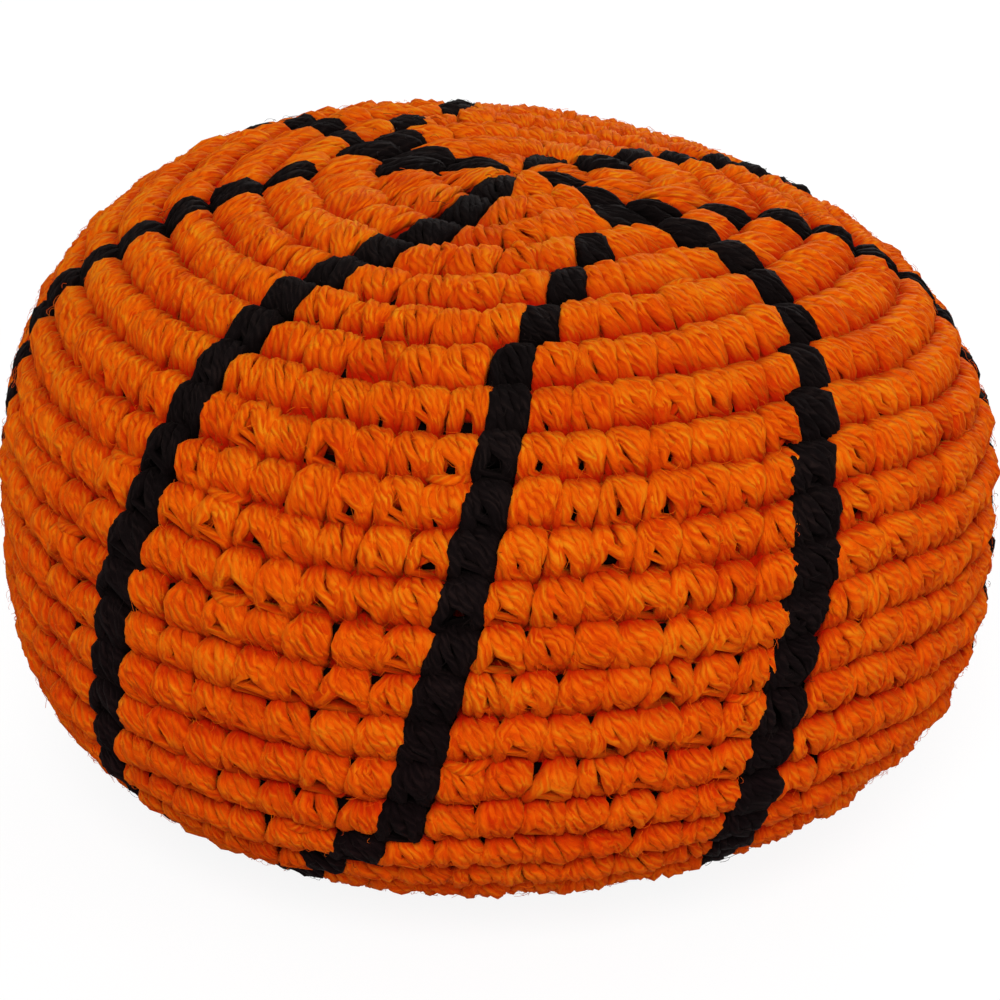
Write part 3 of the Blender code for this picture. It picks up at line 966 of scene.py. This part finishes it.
def ring_strands(upper):
    """Two plies, twisted round each other along a ring."""
    middle, right, back, outward = pole_place(upper)
    turn = np.linspace(0, 2 * math.pi, 49)
    strands = []
    for start in (0, math.pi):
        swing = 6 * turn + start
        reach = ring_radius + ring_ply * np.cos(swing)
        points = middle + np.outer(reach * np.cos(turn), right)
        points += np.outer(reach * np.sin(turn), back)
        points += np.outer(ring_ply * np.sin(swing), outward)
        strands.append((points, np.full_like(turn, 1.15 * ring_ply)))
    return strands


def knot_strands():
    """An overhand knot, drawn flat inside the closing ring."""
    turn = np.linspace(0, 2 * math.pi, 61)
    low, high = (np.array(corner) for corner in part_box("end_knot"))
    half = (high - low) / 2
    yarn = 0.42 * half[2]
    points = np.empty((len(turn), 3))
    points[:, 0] = (np.sin(turn) + 2 * np.sin(2 * turn)) / 3 * (half[0] - yarn)
    points[:, 1] = (np.cos(turn) - 2 * np.cos(2 * turn)) / 3 * (half[1] - yarn)
    points[:, 2] = -np.sin(3 * turn) * (half[2] - yarn)
    return [(points + (low + high) / 2, np.full_like(turn, yarn))]


for name, strands in (
    ("start_ring", ring_strands(upper=True)),
    ("closing_ring", ring_strands(upper=False)),
    ("end_knot", knot_strands()),
):
    piece = dress(strands_to_mesh(f"{name}_of_yarn", strands, sides=8), orange_yarn)
    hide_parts(name)


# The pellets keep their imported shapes

for name, carried_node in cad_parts.items():
    if name.startswith("pellet"):
        carried_node.material_slots[0].material = (
            pellet_heap if name == "pellet_mass" else pellet_plastic
        )


# Stage, light and camera

floor_drop = 0.1 * MM
floor_glow = 1.15
floor_glow_share = 0.78
world_light = 0.42
LAMPS = (
    ("key_lamp", (-0.03, -0.36, 0.38), 0.22, 1.56),
    ("fill_lamp", (0.35, -0.25, 0.20), 0.30, 0.35),
    ("back_lamp", (0.15, 0.48, 0.12), 0.30, 1.3),
)
lamp_aim = (0, 0, 0.015)
camera_elevation = math.radians(25.75)
camera_distance = 185.3 * MM
camera_aim_height = 18.4 * MM
camera_lens = 117.5
camera_shift = (0.0096, -0.0514)


def seen_rays(tree, path):
    """1 for the rays that see the backdrop: straight, in a gloss or through a clear piece."""
    seen = path.outputs["Is Camera Ray"]
    for kind in ("Is Glossy Ray", "Is Transmission Ray"):
        seen = maths(tree, "MAXIMUM", seen, path.outputs[kind])
    return seen


def build_floor():
    shape = bmesh.new()
    bmesh.ops.create_grid(shape, x_segments=1, y_segments=1, size=2.0)
    bmesh.ops.translate(shape, verts=shape.verts, vec=(0, 0, -floor_drop))
    mesh = bpy.data.meshes.new("floor")
    shape.to_mesh(mesh)
    shape.free()
    floor = bpy.data.objects.new("floor", mesh)
    bpy.context.scene.collection.objects.link(floor)
    made = bpy.data.materials.new("white_floor")
    made.use_nodes = True
    tree = made.node_tree
    shader = tree.nodes["Principled BSDF"]
    shader.inputs["Base Color"].default_value = (0.55, 0.55, 0.55, 1)
    shader.inputs["Roughness"].default_value = 0.9
    bright = node(tree, "ShaderNodeEmission")
    bright.inputs["Strength"].default_value = floor_glow
    mixed = node(tree, "ShaderNodeMixShader")
    path = node(tree, "ShaderNodeLightPath")
    seen = maths(tree, "MULTIPLY", seen_rays(tree, path), floor_glow_share)
    tree.links.new(seen, mixed.inputs[0])
    tree.links.new(shader.outputs[0], mixed.inputs[1])
    tree.links.new(bright.outputs[0], mixed.inputs[2])
    tree.links.new(mixed.outputs[0], tree.nodes["Material Output"].inputs["Surface"])
    mesh.materials.append(made)


def build_world():
    world = bpy.data.worlds.new("white_studio")
    bpy.context.scene.world = world
    world.use_nodes = True
    tree = world.node_tree
    lighting = tree.nodes["Background"]
    lighting.inputs["Color"].default_value = (1, 1, 1, 1)
    lighting.inputs["Strength"].default_value = world_light
    white = node(tree, "ShaderNodeBackground")
    white.inputs["Strength"].default_value = 1.0
    white.inputs["Color"].default_value = (1, 1, 1, 1)
    mixed = node(tree, "ShaderNodeMixShader")
    path = node(tree, "ShaderNodeLightPath")
    tree.links.new(seen_rays(tree, path), mixed.inputs[0])
    tree.links.new(lighting.outputs[0], mixed.inputs[1])
    tree.links.new(white.outputs[0], mixed.inputs[2])
    tree.links.new(mixed.outputs[0], tree.nodes["World Output"].inputs["Surface"])


def soft_lamp(name, place, size, watts):
    data = bpy.data.lights.new(name, "AREA")
    data.shape = "DISK"
    data.size = size
    data.energy = watts
    lamp = bpy.data.objects.new(name, data)
    bpy.context.scene.collection.objects.link(lamp)
    lamp.location = place
    toward = Vector(lamp_aim) - Vector(place)
    lamp.rotation_euler = toward.to_track_quat("-Z", "Y").to_euler()


def place_camera():
    target = Vector((-MIDDLE[0], -MIDDLE[1], camera_aim_height))
    data = bpy.data.cameras.new("camera")
    data.sensor_width = 36.0
    data.lens = camera_lens
    data.shift_x, data.shift_y = camera_shift
    data.clip_start = 10 * MM
    camera = bpy.data.objects.new("camera", data)
    bpy.context.scene.collection.objects.link(camera)
    back = Vector((0, -math.cos(camera_elevation), math.sin(camera_elevation)))
    camera.location = target + back * camera_distance
    camera.rotation_euler = back.to_track_quat("Z", "Y").to_euler()
    bpy.context.scene.camera = camera


build_floor()
build_world()
for lamp in LAMPS:
    soft_lamp(*lamp)
place_camera()
bpy.context.scene.view_settings.view_transform = "Standard"
